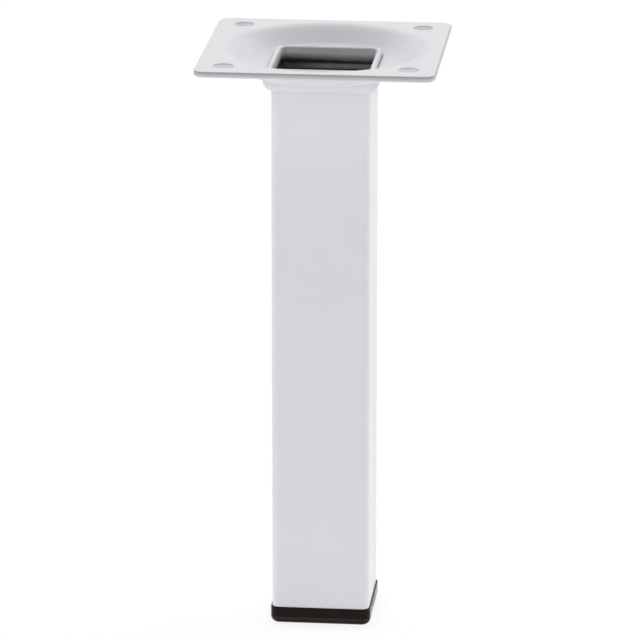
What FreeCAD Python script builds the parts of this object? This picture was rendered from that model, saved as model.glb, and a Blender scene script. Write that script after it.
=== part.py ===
import FreeCAD, Part
import math
import os

# Square metal table leg, in millimetres. It stands on its foot, +Z is up,
# and the origin is in the middle of the foot's underside.

# Whole leg
leg_height = 150.0            # floor to mounting plane

# Mounting plate, pressed from one sheet
plate_width = 60.0
plate_corner_radius = 3.0
sheet_thickness = 1.5
sheet_edge_radius = 0.5       # rounding of the upper cut edge
sheet_edge_chamfer = 0.3      # bevel of the lower cut edge
hole_diameter = 5.2
hole_inset = 7.0              # hole centre to plate edge

# Round dish in the plate
flange_width = 2.6            # flat strip between the dish's lip and the plate edge
dish_depth = 4.1              # mounting plane to dish floor
dish_lip_radius = 5.1         # bend from the flange into the sloping wall
lip_share = 0.9               # most of the wall's height that the bend may take
dish_root_radius = 2.2        # bend from the wall to the floor, on the upper side
dish_root_bevel = 0.9         # the same bend on the underside
dish_floor_margin = 1.6       # flat floor outside the neck's corners

# Square neck under the dish floor
neck_length = 3.4             # how far the neck hangs below the dish
neck_wall = 1.1
neck_edge = 0.15              # height of the neck's lower edge against the tube
neck_mouth_radius = 0.8
neck_foot_radius = 2.6

# Square tube
tube_width = 25.0
tube_wall = 1.2
tube_corner_radius = 2.0
rim_rise = 1.1                # dish floor to the tube's upper end
rim_chamfer = 0.25
bell_growth = 1.0             # widening of each side at the upper end
neck_clearance = 0.05         # between tube and neck

# Foot cap
cap_head_height = 4.5
cap_overhang = 0.4            # head stands proud of the tube
cap_foot_radius = 1.7         # lower edge of the head
cap_edge_chamfer = 0.3        # upper edge of the head
plug_length = 12.0
plug_gap = 0.7                # plug core to tube
plug_wall = 1.4
plug_floor = 2.5              # thickness under the hollow
fin_count = 3
fin_height = 0.8
fin_clearance = 0.05          # fins to tube

smallest_corner = 0.1         # corners under this are left sharp
tolerance = 1e-6              # for finding edges by their place

# Heights and widths that follow from these
mounting_plane = leg_height
dish_floor = mounting_plane - dish_depth
dish_underside = dish_floor - sheet_thickness
neck_bottom = dish_underside - neck_length
shoulder_low = neck_bottom + neck_edge
rim = dish_floor + rim_rise
pocket_offset = bell_growth + neck_clearance
neck_offset = pocket_offset + neck_wall
hole_spacing = plate_width - 2 * hole_inset


def squareWire(half, radius, z):
    """Outline of a square with round or sharp corners, centred on the leg's axis."""
    if radius <= smallest_corner:
        signs = ((1, -1), (1, 1), (-1, 1), (-1, -1), (1, -1))
        return Part.makePolygon([FreeCAD.Vector(half * x, half * y, z) for x, y in signs])
    flat = half - radius
    bulge = flat + radius * math.sqrt(0.5)
    edges = []
    for quarter in range(4):
        side = Part.LineSegment(FreeCAD.Vector(half, -flat, z), FreeCAD.Vector(half, flat, z))
        corner = Part.Arc(
            FreeCAD.Vector(half, flat, z),
            FreeCAD.Vector(bulge, bulge, z),
            FreeCAD.Vector(flat, half, z),
        )
        for curve in (side, corner):
            edge = curve.toShape()
            edge.rotate(FreeCAD.Vector(), FreeCAD.Vector(0, 0, 1), 90 * quarter)
            edges.append(edge)
    return Part.Wire(edges)


def tubeOutline(offset, z):
    """The tube's outline, grown on every side by an offset."""
    return squareWire(tube_width / 2 + offset, tube_corner_radius + offset, z)


def prism(wire, height):
    return Part.Face(wire).extrude(FreeCAD.Vector(0, 0, height))


def tubePrism(offset, low, high):
    return prism(tubeOutline(offset, low), high - low)


def belledPrism(offset, low, shoulder, high):
    """Square bar that widens by the bell's growth above a sloping shoulder."""
    straight = tubePrism(offset, low, shoulder)
    slope = Part.makeLoft(
        [tubeOutline(offset, shoulder), tubeOutline(offset + bell_growth, shoulder + bell_growth)],
        True,
        True,
    )
    bell = tubePrism(offset + bell_growth, shoulder + bell_growth, high)
    return straight.fuse([slope, bell]).removeSplitter()


def edgesAtHeight(shape, z):
    found = []
    for edge in shape.Edges:
        box = edge.BoundBox
        if abs(box.ZMin - z) < tolerance and abs(box.ZMax - z) < tolerance:
            found.append(edge)
    return found


def edgesWithin(edges, half):
    return [e for e in edges if e.BoundBox.XMax < half and e.BoundBox.XMin > -half]


def circlesAt(shape, radius, z):
    """Round edges of one radius at one height."""
    rings = []
    for edge in edgesAtHeight(shape, z):
        if isinstance(edge.Curve, Part.Circle) and abs(edge.Curve.Radius - radius) < tolerance:
            rings.append(edge)
    return rings


def dishSlope(floor_radius, lip_radius):
    """Angle of the dish's wall, which meets the flange through the bend of the lip."""
    run = plate_width / 2 - flange_width - floor_radius
    rise = lip_radius - dish_depth
    return math.asin(lip_radius / math.hypot(run, rise)) - math.atan2(rise, run)


def lipRadius(floor_radius):
    """Bend of the lip, which leaves part of the wall straight."""
    run = plate_width / 2 - flange_width - floor_radius
    whole_wall = (run ** 2 + dish_depth ** 2) / (2 * dish_depth)
    return min(dish_lip_radius, lip_share * whole_wall)


def cornerReach(offset):
    """Distance from the axis to the rounded corner of a grown tube outline."""
    radius = max(tube_corner_radius + offset, 0)
    return (tube_width / 2 + offset - radius) * math.sqrt(2) + radius


def makeFlange():
    """Flat square of sheet with rounded corners, a round upper edge and a bevelled lower edge."""
    underside = mounting_plane - sheet_thickness
    blank = prism(squareWire(plate_width / 2, plate_corner_radius, underside), sheet_thickness)
    blank = blank.makeFillet(sheet_edge_radius, edgesAtHeight(blank, mounting_plane))
    return blank.makeChamfer(sheet_edge_chamfer, edgesAtHeight(blank, underside))


def makeNeck():
    """Outside of the square neck, with a round lower edge."""
    neck = tubePrism(neck_offset, neck_bottom, dish_floor - sheet_thickness / 2)
    wall_room = neck_length - smallest_corner
    return neck.makeFillet(min(neck_foot_radius, wall_room), edgesAtHeight(neck, neck_bottom))


def drillScrewHoles(plate):
    """Four plain punched holes."""
    half = hole_spacing / 2
    low = mounting_plane - sheet_thickness
    holes = []
    for x in (-half, half):
        for y in (-half, half):
            holes.append(Part.makeCylinder(hole_diameter / 2, sheet_thickness, FreeCAD.Vector(x, y, low)))
    return plate.cut(holes)


def makeMountingPlate():
    """Square sheet with a round dish, and a square neck in the dish's floor."""
    floor_radius = cornerReach(neck_offset) + dish_floor_margin
    lip_radius = lipRadius(floor_radius)
    slope = dishSlope(floor_radius, lip_radius)
    wall_top = floor_radius + dish_depth / math.tan(slope)
    wider = sheet_thickness * math.tan(slope / 2)
    up = FreeCAD.Vector(0, 0, 1)
    outside = Part.makeCone(
        floor_radius + wider, wall_top + wider, dish_depth, FreeCAD.Vector(0, 0, dish_underside), up
    )
    inside = Part.makeCone(floor_radius, wall_top, dish_depth, FreeCAD.Vector(0, 0, dish_floor), up)
    pocket = belledPrism(neck_clearance, neck_bottom - neck_edge, shoulder_low, mounting_plane)
    plate = makeFlange().fuse([outside, makeNeck()])
    plate = plate.cut([inside, pocket]).removeSplitter()
    plate = plate.makeFillet(lip_radius, circlesAt(plate, wall_top, mounting_plane))
    plate = plate.makeFillet(dish_root_radius, circlesAt(plate, floor_radius, dish_floor))
    plate = plate.makeChamfer(dish_root_bevel, circlesAt(plate, floor_radius + wider, dish_underside))
    mouth = edgesWithin(edgesAtHeight(plate, dish_floor), tube_width / 2 + pocket_offset + neck_mouth_radius)
    plate = plate.makeFillet(neck_mouth_radius, mouth)
    return drillScrewHoles(plate)


def makeLegTube():
    """Square tube with an even wall and a widened upper end."""
    lift = tube_wall * (math.sqrt(2) - 1)
    outside = belledPrism(0, cap_head_height, shoulder_low, rim)
    bore = belledPrism(-tube_wall, cap_head_height, shoulder_low + lift, rim)
    tube = outside.cut(bore)
    return tube.makeChamfer(rim_chamfer, edgesAtHeight(tube, rim))


def makeFootCap():
    """Moulded cap: head with a round lower edge, and a hollow plug with fins above."""
    head = tubePrism(cap_overhang, 0, cap_head_height)
    head = head.makeFillet(cap_foot_radius, edgesAtHeight(head, 0))
    head = head.makeChamfer(cap_edge_chamfer, edgesAtHeight(head, cap_head_height))
    plug_top = cap_head_height + plug_length
    core_offset = -tube_wall - plug_gap
    core = tubePrism(core_offset, cap_head_height, plug_top)
    pitch = plug_length / fin_count
    fins = []
    for number in range(fin_count):
        low = cap_head_height + (number + 0.5) * pitch
        fins.append(tubePrism(-tube_wall - fin_clearance, low, low + fin_height))
    hollow = tubePrism(core_offset - plug_wall, plug_floor, plug_top)
    return head.fuse([core] + fins).cut(hollow).removeSplitter()


os.makedirs("parts", exist_ok=True)
nodes = {
    "mounting_plate": makeMountingPlate(),
    "leg_tube": makeLegTube(),
    "foot_cap": makeFootCap(),
}
for name, shape in nodes.items():
    shape.exportStep("parts/" + name + ".step")
    print(name, shape.ShapeType, len(shape.Solids), shape.isValid(), round(shape.Volume, 1))
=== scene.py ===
import bpy
import math
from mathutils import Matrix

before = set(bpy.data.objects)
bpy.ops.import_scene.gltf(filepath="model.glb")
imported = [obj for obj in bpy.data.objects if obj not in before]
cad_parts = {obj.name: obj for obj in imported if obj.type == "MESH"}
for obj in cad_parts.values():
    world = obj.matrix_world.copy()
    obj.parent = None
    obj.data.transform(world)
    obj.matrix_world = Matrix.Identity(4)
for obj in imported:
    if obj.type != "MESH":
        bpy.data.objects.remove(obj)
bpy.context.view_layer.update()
scene = bpy.context.scene
print("leg loaded:", ", ".join(sorted(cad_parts)))

grainSpan = (0.3, 0.7)                       # where nearly all values of a noise lie
bevelSamples = 6
levelTilt = 90.0                             # degrees from looking straight down to looking level


def freshTree(owner):
    # owner is a new material or world
    owner.use_nodes = True
    owner.node_tree.nodes.clear()
    return owner.node_tree


def startMaterial(name):
    material = bpy.data.materials.new(name)
    return material, freshTree(material)


def addNode(tree, kind, sockets=None, **settings):
    # sockets takes plain values, or the outputs of other nodes
    node = tree.nodes.new(kind)
    for key, value in settings.items():
        setattr(node, key, value)
    for socket, source in (sockets or {}).items():
        if isinstance(source, bpy.types.NodeSocket):
            tree.links.new(source, node.inputs[socket])
        else:
            node.inputs[socket].default_value = source
    return node


def calc(tree, operation, *sources):
    return addNode(tree, "ShaderNodeMath", dict(enumerate(sources)), operation=operation).outputs[0]


def spread(tree, source, span, low, high):
    # low at the start of the span, high at its end
    sockets = {"Value": source, "From Min": span[0], "From Max": span[1], "To Min": low, "To Max": high}
    return addNode(tree, "ShaderNodeMapRange", sockets).outputs["Result"]


def fadeIn(tree, source, span):
    return spread(tree, source, span, 0.0, 1.0)


def fadeOut(tree, source, span):
    return spread(tree, source, span, 1.0, 0.0)


def band(tree, height, foot, head):
    # 1 from the end of the foot's span to the start of the head's
    return calc(tree, "MULTIPLY", fadeIn(tree, height, foot), fadeOut(tree, height, head))


def grain(tree, place, scale, detail, roughness=0.5):
    sockets = {"Vector": place["Object"], "Scale": scale, "Detail": detail, "Roughness": roughness}
    return addNode(tree, "ShaderNodeTexNoise", sockets).outputs["Fac"]


def mix(tree, factor, first, second, kind="RGBA"):
    sockets = {"Factor": factor, "A": first, "B": second}
    return addNode(tree, "ShaderNodeMix", sockets, data_type=kind).outputs["Result"]


def axesOf(tree, vector):
    return addNode(tree, "ShaderNodeSeparateXYZ", {"Vector": vector}).outputs


def softEdges(tree, radius):
    return addNode(tree, "ShaderNodeBevel", {"Radius": radius}, samples=bevelSamples).outputs["Normal"]


def emboss(tree, texture, height, under):
    sockets = {"Height": texture, "Distance": height, "Normal": under}
    return addNode(tree, "ShaderNodeBump", sockets).outputs["Normal"]


def finishSurface(tree, colour, rough, surface, specular):
    sockets = {"Base Color": colour, "Roughness": rough, "Normal": surface, "Specular IOR Level": specular}
    shader = addNode(tree, "ShaderNodeBsdfPrincipled", sockets)
    addNode(tree, "ShaderNodeOutputMaterial", {"Surface": shader.outputs["BSDF"]})


def finishStudio(tree, kind, share, plain, glowing):
    # the glowing shader covers its share of the plain one
    sockets = {0: share, 1: plain.outputs[0], 2: glowing.outputs[0]}
    both = addNode(tree, "ShaderNodeMixShader", sockets)
    addNode(tree, kind, {"Surface": both.outputs["Shader"]})


def whenSeen(tree):
    # 1 for rays from the camera, and for reflections and glass that show the backdrop
    path = addNode(tree, "ShaderNodeLightPath").outputs
    direct = calc(tree, "MAXIMUM", path["Is Camera Ray"], path["Is Glossy Ray"])
    return calc(tree, "MAXIMUM", direct, path["Is Transmission Ray"])


# White stove enamel on the plate, the outside of the tube and the top of its bore
paintLook = {
    "white": (0.80, 0.812, 0.838, 1.0),
    "shade": (0.775, 0.787, 0.818, 1.0),     # faint unevenness of the coat
    "cloudScale": 55.0,
    "cloudDetail": 3.0,
    "peelScale": 900.0,                      # orange peel of the sprayed coat
    "peelDetail": 1.0,
    "peelHeight": 0.000012,
    "dustScale": 4200.0,
    "dustDetail": 1.0,
    "dustHeight": 0.000003,
    "roughness": (0.30, 0.38),               # lowest and highest
    "specular": 0.40,
    "edgeRadius": 0.00025,
}
# Painted shade: the plate's cut edges darken up to the sharp upper corner, and the tops of the screw hole
# rims too
rimShadeLook = {
    "shadeTone": (0.43, 0.435, 0.445, 1.0),
    "heights": (0.1484, 0.1497),             # metres, from no painted shade to the darkest
    "holeHeights": (0.1495, 0.1497),         # the same on the rims of the screw holes
    "holeShare": 0.55,                       # how dark the painted shade gets there
    "reach": (0.0275, 0.0285),               # out from the axis, from the holes to the outer edge
    "slopes": (0.80, 0.92),                  # upward share of the normal, from painted shade to none
}


def sprayedCoat(tree, place):
    clouds = grain(tree, place, paintLook["cloudScale"], paintLook["cloudDetail"])
    peel = grain(tree, place, paintLook["peelScale"], paintLook["peelDetail"])
    dustAndShoulderLight = grain(tree, place, paintLook["dustScale"], paintLook["dustDetail"])
    colour = mix(tree, clouds, paintLook["white"], paintLook["shade"])
    rough = spread(tree, peel, grainSpan, *paintLook["roughness"])
    surface = softEdges(tree, paintLook["edgeRadius"])
    surface = emboss(tree, peel, paintLook["peelHeight"], surface)
    surface = emboss(tree, dustAndShoulderLight, paintLook["dustHeight"], surface)
    return colour, rough, surface


def makePlatePaint():
    material, tree = startMaterial("whiteEnamelPlate")
    place = addNode(tree, "ShaderNodeTexCoord").outputs
    colour, rough, surface = sprayedCoat(tree, place)
    axes = axesOf(tree, place["Object"])
    across = calc(tree, "ABSOLUTE", axes["X"])
    along = calc(tree, "ABSOLUTE", axes["Y"])
    outer = fadeIn(tree, calc(tree, "MAXIMUM", across, along), rimShadeLook["reach"])
    outerEdge = calc(tree, "MULTIPLY", fadeIn(tree, axes["Z"], rimShadeLook["heights"]), outer)
    holeRim = spread(tree, axes["Z"], rimShadeLook["holeHeights"], 0.0, rimShadeLook["holeShare"])
    high = calc(tree, "MAXIMUM", outerEdge, holeRim)
    steep = fadeOut(tree, axesOf(tree, place["Normal"])["Z"], rimShadeLook["slopes"])
    # painted shade on the steep faces near the top of the plate
    wornAndRimShade = mix(tree, calc(tree, "MULTIPLY", high, steep), colour, rimShadeLook["shadeTone"])
    finishSurface(tree, wornAndRimShade, rough, surface, paintLook["specular"])
    return material


# The spray reaches only the top of the bore; below it the steel is bare and dark. Painted shade on the
# bore's back wall, a painted shadow slant at the coat's lower end and painted light on its shoulder are
# added
boreLook = {
    "inward": -0.004,                        # place times normal, in metres, is less on the bore's walls
    "steel": (0.0085, 0.0048, 0.0042, 1.0),
    "scale": (0.014, 0.0095, 0.0085, 1.0),   # mill scale, in patches
    "patchScale": 180.0,
    "patchDetail": 4.0,
    "patchRoughness": 0.6,
    "roughness": 0.50,
    "spray": (0.1455, 0.1434),               # heights in metres, from full coat to none
    "shadowSlant": 0.02,                       # the coat's lower end reaches deeper on the right, slanted as a painted shadow edge
    "ragged": 0.00015,                       # metres, unevenness of the coat's lower end
    "backWallShade": (0.58, 0.59, 0.61, 1.0),     # painted shade on the bore's back wall
    "backWallShadeFacing": (-0.9, -0.4),              # Y of the normal, from the back wall to the sides
    "dustAndShoulderLight": (0.15, 0.146, 0.142, 1.0),       # painted light on the bore's upward shoulder
    "shoulderLightFoot": (0.1415, 0.1419),
    "shoulderLightHead": (0.1425, 0.1429),
    "shoulderLightSide": (-0.0085, -0.001),           # across the bore, from painted shadow at the left to full painted light
}


def insideBore(tree, place):
    # surfaces that face the leg's axis
    noHeight = (1.0, 1.0, 0.0)
    flat = addNode(tree, "ShaderNodeVectorMath", {0: place["Object"], 1: noHeight}, operation="MULTIPLY")
    sides = {0: flat.outputs[0], 1: place["Normal"]}
    facing = addNode(tree, "ShaderNodeVectorMath", sides, operation="DOT_PRODUCT")
    return calc(tree, "LESS_THAN", facing.outputs["Value"], boreLook["inward"])


def makeTubePaint():
    material, tree = startMaterial("whiteEnamelTube")
    place = addNode(tree, "ShaderNodeTexCoord").outputs
    colour, rough, surface = sprayedCoat(tree, place)
    axes = axesOf(tree, place["Object"])
    patchGrain = (boreLook["patchScale"], boreLook["patchDetail"], boreLook["patchRoughness"])
    patches = grain(tree, place, *patchGrain)
    ragged = spread(tree, patches, grainSpan, -boreLook["ragged"], boreLook["ragged"])
    # painted shadow edge: the coat's lower end slants down to the right
    tilt = calc(tree, "MULTIPLY", axes["X"], boreLook["shadowSlant"])
    level = calc(tree, "ADD", calc(tree, "ADD", axes["Z"], tilt), ragged)
    inside = insideBore(tree, place)
    steelPart = calc(tree, "MULTIPLY", inside, fadeIn(tree, level, boreLook["spray"]))
    # painted shade on the bore's back wall
    facing = fadeOut(tree, axesOf(tree, place["Normal"])["Y"], boreLook["backWallShadeFacing"])
    paintWithBackWallShade = mix(tree, calc(tree, "MULTIPLY", inside, facing), colour, boreLook["backWallShade"])
    metal = mix(tree, patches, boreLook["steel"], boreLook["scale"])
    # painted light on the bore's shoulder, fading into painted shadow towards the left
    ledge = band(tree, axes["Z"], boreLook["shoulderLightFoot"], boreLook["shoulderLightHead"])
    shoulderLightPart = calc(tree, "MULTIPLY", ledge, fadeIn(tree, axes["X"], boreLook["shoulderLightSide"]))
    withShoulderLight = mix(tree, shoulderLightPart, metal, boreLook["dustAndShoulderLight"])
    finish = mix(tree, steelPart, paintWithBackWallShade, withShoulderLight)
    dull = mix(tree, steelPart, rough, boreLook["roughness"], "FLOAT")
    finishSurface(tree, finish, dull, surface, paintLook["specular"])
    return material


# Black moulded plastic of the foot cap
capLook = {
    "black": (0.0095, 0.0052, 0.0038, 1.0),
    "wornAndRimShade": (0.0125, 0.0072, 0.0054, 1.0),
    "mottleScale": 220.0,
    "mottleDetail": 3.0,
    "grainScale": 2600.0,
    "grainDetail": 2.0,
    "grainHeight": 0.000006,
    "roughness": (0.16, 0.26),               # lowest and highest
    "specular": 0.08,
    "edgeRadius": 0.00025,
    "paintedLowerEdgeLight": (0.019, 0.0145, 0.0130, 1.0),    # painted light on the round lower edge
    "lowerEdgeLightTop": (0.0015, 0.0018),            # heights in metres, from painted light to none
    "creaseHighlight": (0.036, 0.031, 0.029, 1.0),      # painted highlight where the round edge begins
    "creaseHighlightFoot": (0.0014, 0.0016),
    "creaseHighlightHead": (0.0018, 0.0020),
}


def makeCapPlastic():
    material, tree = startMaterial("blackMouldedCap")
    place = addNode(tree, "ShaderNodeTexCoord").outputs
    height = axesOf(tree, place["Object"])["Z"]
    mottle = grain(tree, place, capLook["mottleScale"], capLook["mottleDetail"])
    fine = grain(tree, place, capLook["grainScale"], capLook["grainDetail"])
    colour = mix(tree, mottle, capLook["black"], capLook["wornAndRimShade"])
    # painted light on the cap's round lower edge
    paintedLowerEdgeLight = mix(tree, fadeOut(tree, height, capLook["lowerEdgeLightTop"]), colour, capLook["paintedLowerEdgeLight"])
    # painted highlight along the top of the cap's round lower edge
    creaseHighlightPart = band(tree, height, capLook["creaseHighlightFoot"], capLook["creaseHighlightHead"])
    withCreaseHighlight = mix(tree, creaseHighlightPart, paintedLowerEdgeLight, capLook["creaseHighlight"])
    rough = spread(tree, mottle, grainSpan, *capLook["roughness"])
    surface = emboss(tree, fine, capLook["grainHeight"], softEdges(tree, capLook["edgeRadius"]))
    finishSurface(tree, withCreaseHighlight, rough, surface, capLook["specular"])
    return material


def coat(nodeName, material):
    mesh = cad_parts[nodeName].data
    mesh.materials.clear()
    mesh.materials.append(material)


coat("mounting_plate", makePlatePaint())
coat("leg_tube", makeTubePaint())
coat("foot_cap", makeCapPlastic())
print("finishes on: plate, tube, cap")


# Plain white floor that fades into the backdrop and keeps a soft shadow
floorLook = {
    "size": 12.0,
    "drop": 0.00005,                         # a hair under the foot, so that the two faces do not meet
    "colour": (0.90, 0.90, 0.90, 1.0),
    "glowShare": 0.76,                       # share of plain white where it is seen directly
    "glowStrength": 1.12,
}


def makeFloor():
    half = floorLook["size"] / 2
    low = -floorLook["drop"]
    corners = [(-half, -half, low), (half, -half, low), (half, half, low), (-half, half, low)]
    mesh = bpy.data.meshes.new("studioFloor")
    mesh.from_pydata(corners, [], [(0, 1, 2, 3)])
    floor = bpy.data.objects.new("studioFloor", mesh)
    scene.collection.objects.link(floor)
    material, tree = startMaterial("studioFloorWhite")
    matt = addNode(tree, "ShaderNodeBsdfDiffuse", {"Color": floorLook["colour"]})
    glow = addNode(tree, "ShaderNodeEmission", {"Strength": floorLook["glowStrength"]})
    share = calc(tree, "MULTIPLY", whenSeen(tree), floorLook["glowShare"])
    finishStudio(tree, "ShaderNodeOutputMaterial", share, matt, glow)
    mesh.materials.append(material)


makeFloor()
print("floor laid")


# Soft studio light: wide lamps, most of them low, and a glow from the table in front.
# Turn 0 comes from the front and 90 from the right; gloss says if the paint mirrors the lamp
lightLook = {
    "white": (1.0, 1.0, 1.0, 1.0),
    "ambient": 0.01,
    "lamps": {
        "frontLamp": {"strength": 1.25, "turn": 0.0, "height": 20.0, "gloss": False},
        "leftLamp": {"strength": 0.63, "turn": -90.0, "height": 20.0, "gloss": False},
        "leftBackLamp": {"strength": 0.60, "turn": -120.0, "height": 20.0, "gloss": True},
        "leftBackFill": {"strength": 0.60, "turn": -120.0, "height": 20.0, "gloss": False},
        "rightBackLamp": {"strength": 1.00, "turn": 120.0, "height": 20.0, "gloss": True},
        "rightBackFill": {"strength": 1.00, "turn": 120.0, "height": 20.0, "gloss": False},
        "highBackLamp": {"strength": 0.73, "turn": 180.0, "height": 45.0, "gloss": True},
    },
    "lampAngle": 60.0,                       # width of each lamp as the leg sees it
    "tableGlow": 0.310,
    "tableWidth": 0.8,
    "tableDepth": 0.4,
    "tableLift": 0.001,                      # just above the floor
}


def addSun(name, look):
    lamp = bpy.data.lights.new(name, "SUN")
    lamp.energy = look["strength"]
    lamp.angle = math.radians(lightLook["lampAngle"])
    sun = bpy.data.objects.new(name, lamp)
    sun.rotation_euler = (math.radians(levelTilt - look["height"]), 0.0, math.radians(look["turn"]))
    sun.visible_glossy = look["gloss"]       # kept out where it would glare on the plate
    scene.collection.objects.link(sun)


def addTableGlow():
    width = lightLook["tableWidth"]
    depth = lightLook["tableDepth"]
    lamp = bpy.data.lights.new("tableGlow", "AREA")
    lamp.shape = "RECTANGLE"
    lamp.size = width
    lamp.size_y = depth
    lamp.energy = lightLook["tableGlow"] * math.pi * width * depth
    glow = bpy.data.objects.new("tableGlow", lamp)
    glow.location = (0.0, -depth / 2, lightLook["tableLift"])
    glow.rotation_euler = (math.pi, 0.0, 0.0)    # shines up
    scene.collection.objects.link(glow)


def lightStudio():
    world = bpy.data.worlds.new("studioWhite")
    scene.world = world
    tree = freshTree(world)
    white = lightLook["white"]
    dim = addNode(tree, "ShaderNodeBackground", {"Color": white, "Strength": lightLook["ambient"]})
    backdrop = addNode(tree, "ShaderNodeBackground", {"Color": white})
    finishStudio(tree, "ShaderNodeOutputWorld", whenSeen(tree), dim, backdrop)
    for name, look in lightLook["lamps"].items():
        addSun(name, look)
    addTableGlow()


lightStudio()
print("lights set")


# Camera a little to the right and above, with a long lens
cameraLook = {
    "place": (0.1165, -1.1943, 0.4337),
    "turn": 5.63,                            # degrees to the left of straight ahead
    "dip": 16.50,                            # degrees below the horizon
    "lens": 275.2,
    "sensor": 36.0,
}


def placeCamera():
    lens = bpy.data.cameras.new("legCamera")
    lens.lens = cameraLook["lens"]
    lens.sensor_width = cameraLook["sensor"]
    camera = bpy.data.objects.new("legCamera", lens)
    camera.location = cameraLook["place"]
    tilt = math.radians(levelTilt - cameraLook["dip"])
    camera.rotation_euler = (tilt, 0.0, math.radians(cameraLook["turn"]))
    scene.collection.objects.link(camera)
    scene.camera = camera


placeCamera()
print("camera placed")
scene.view_settings.view_transform = "Standard"
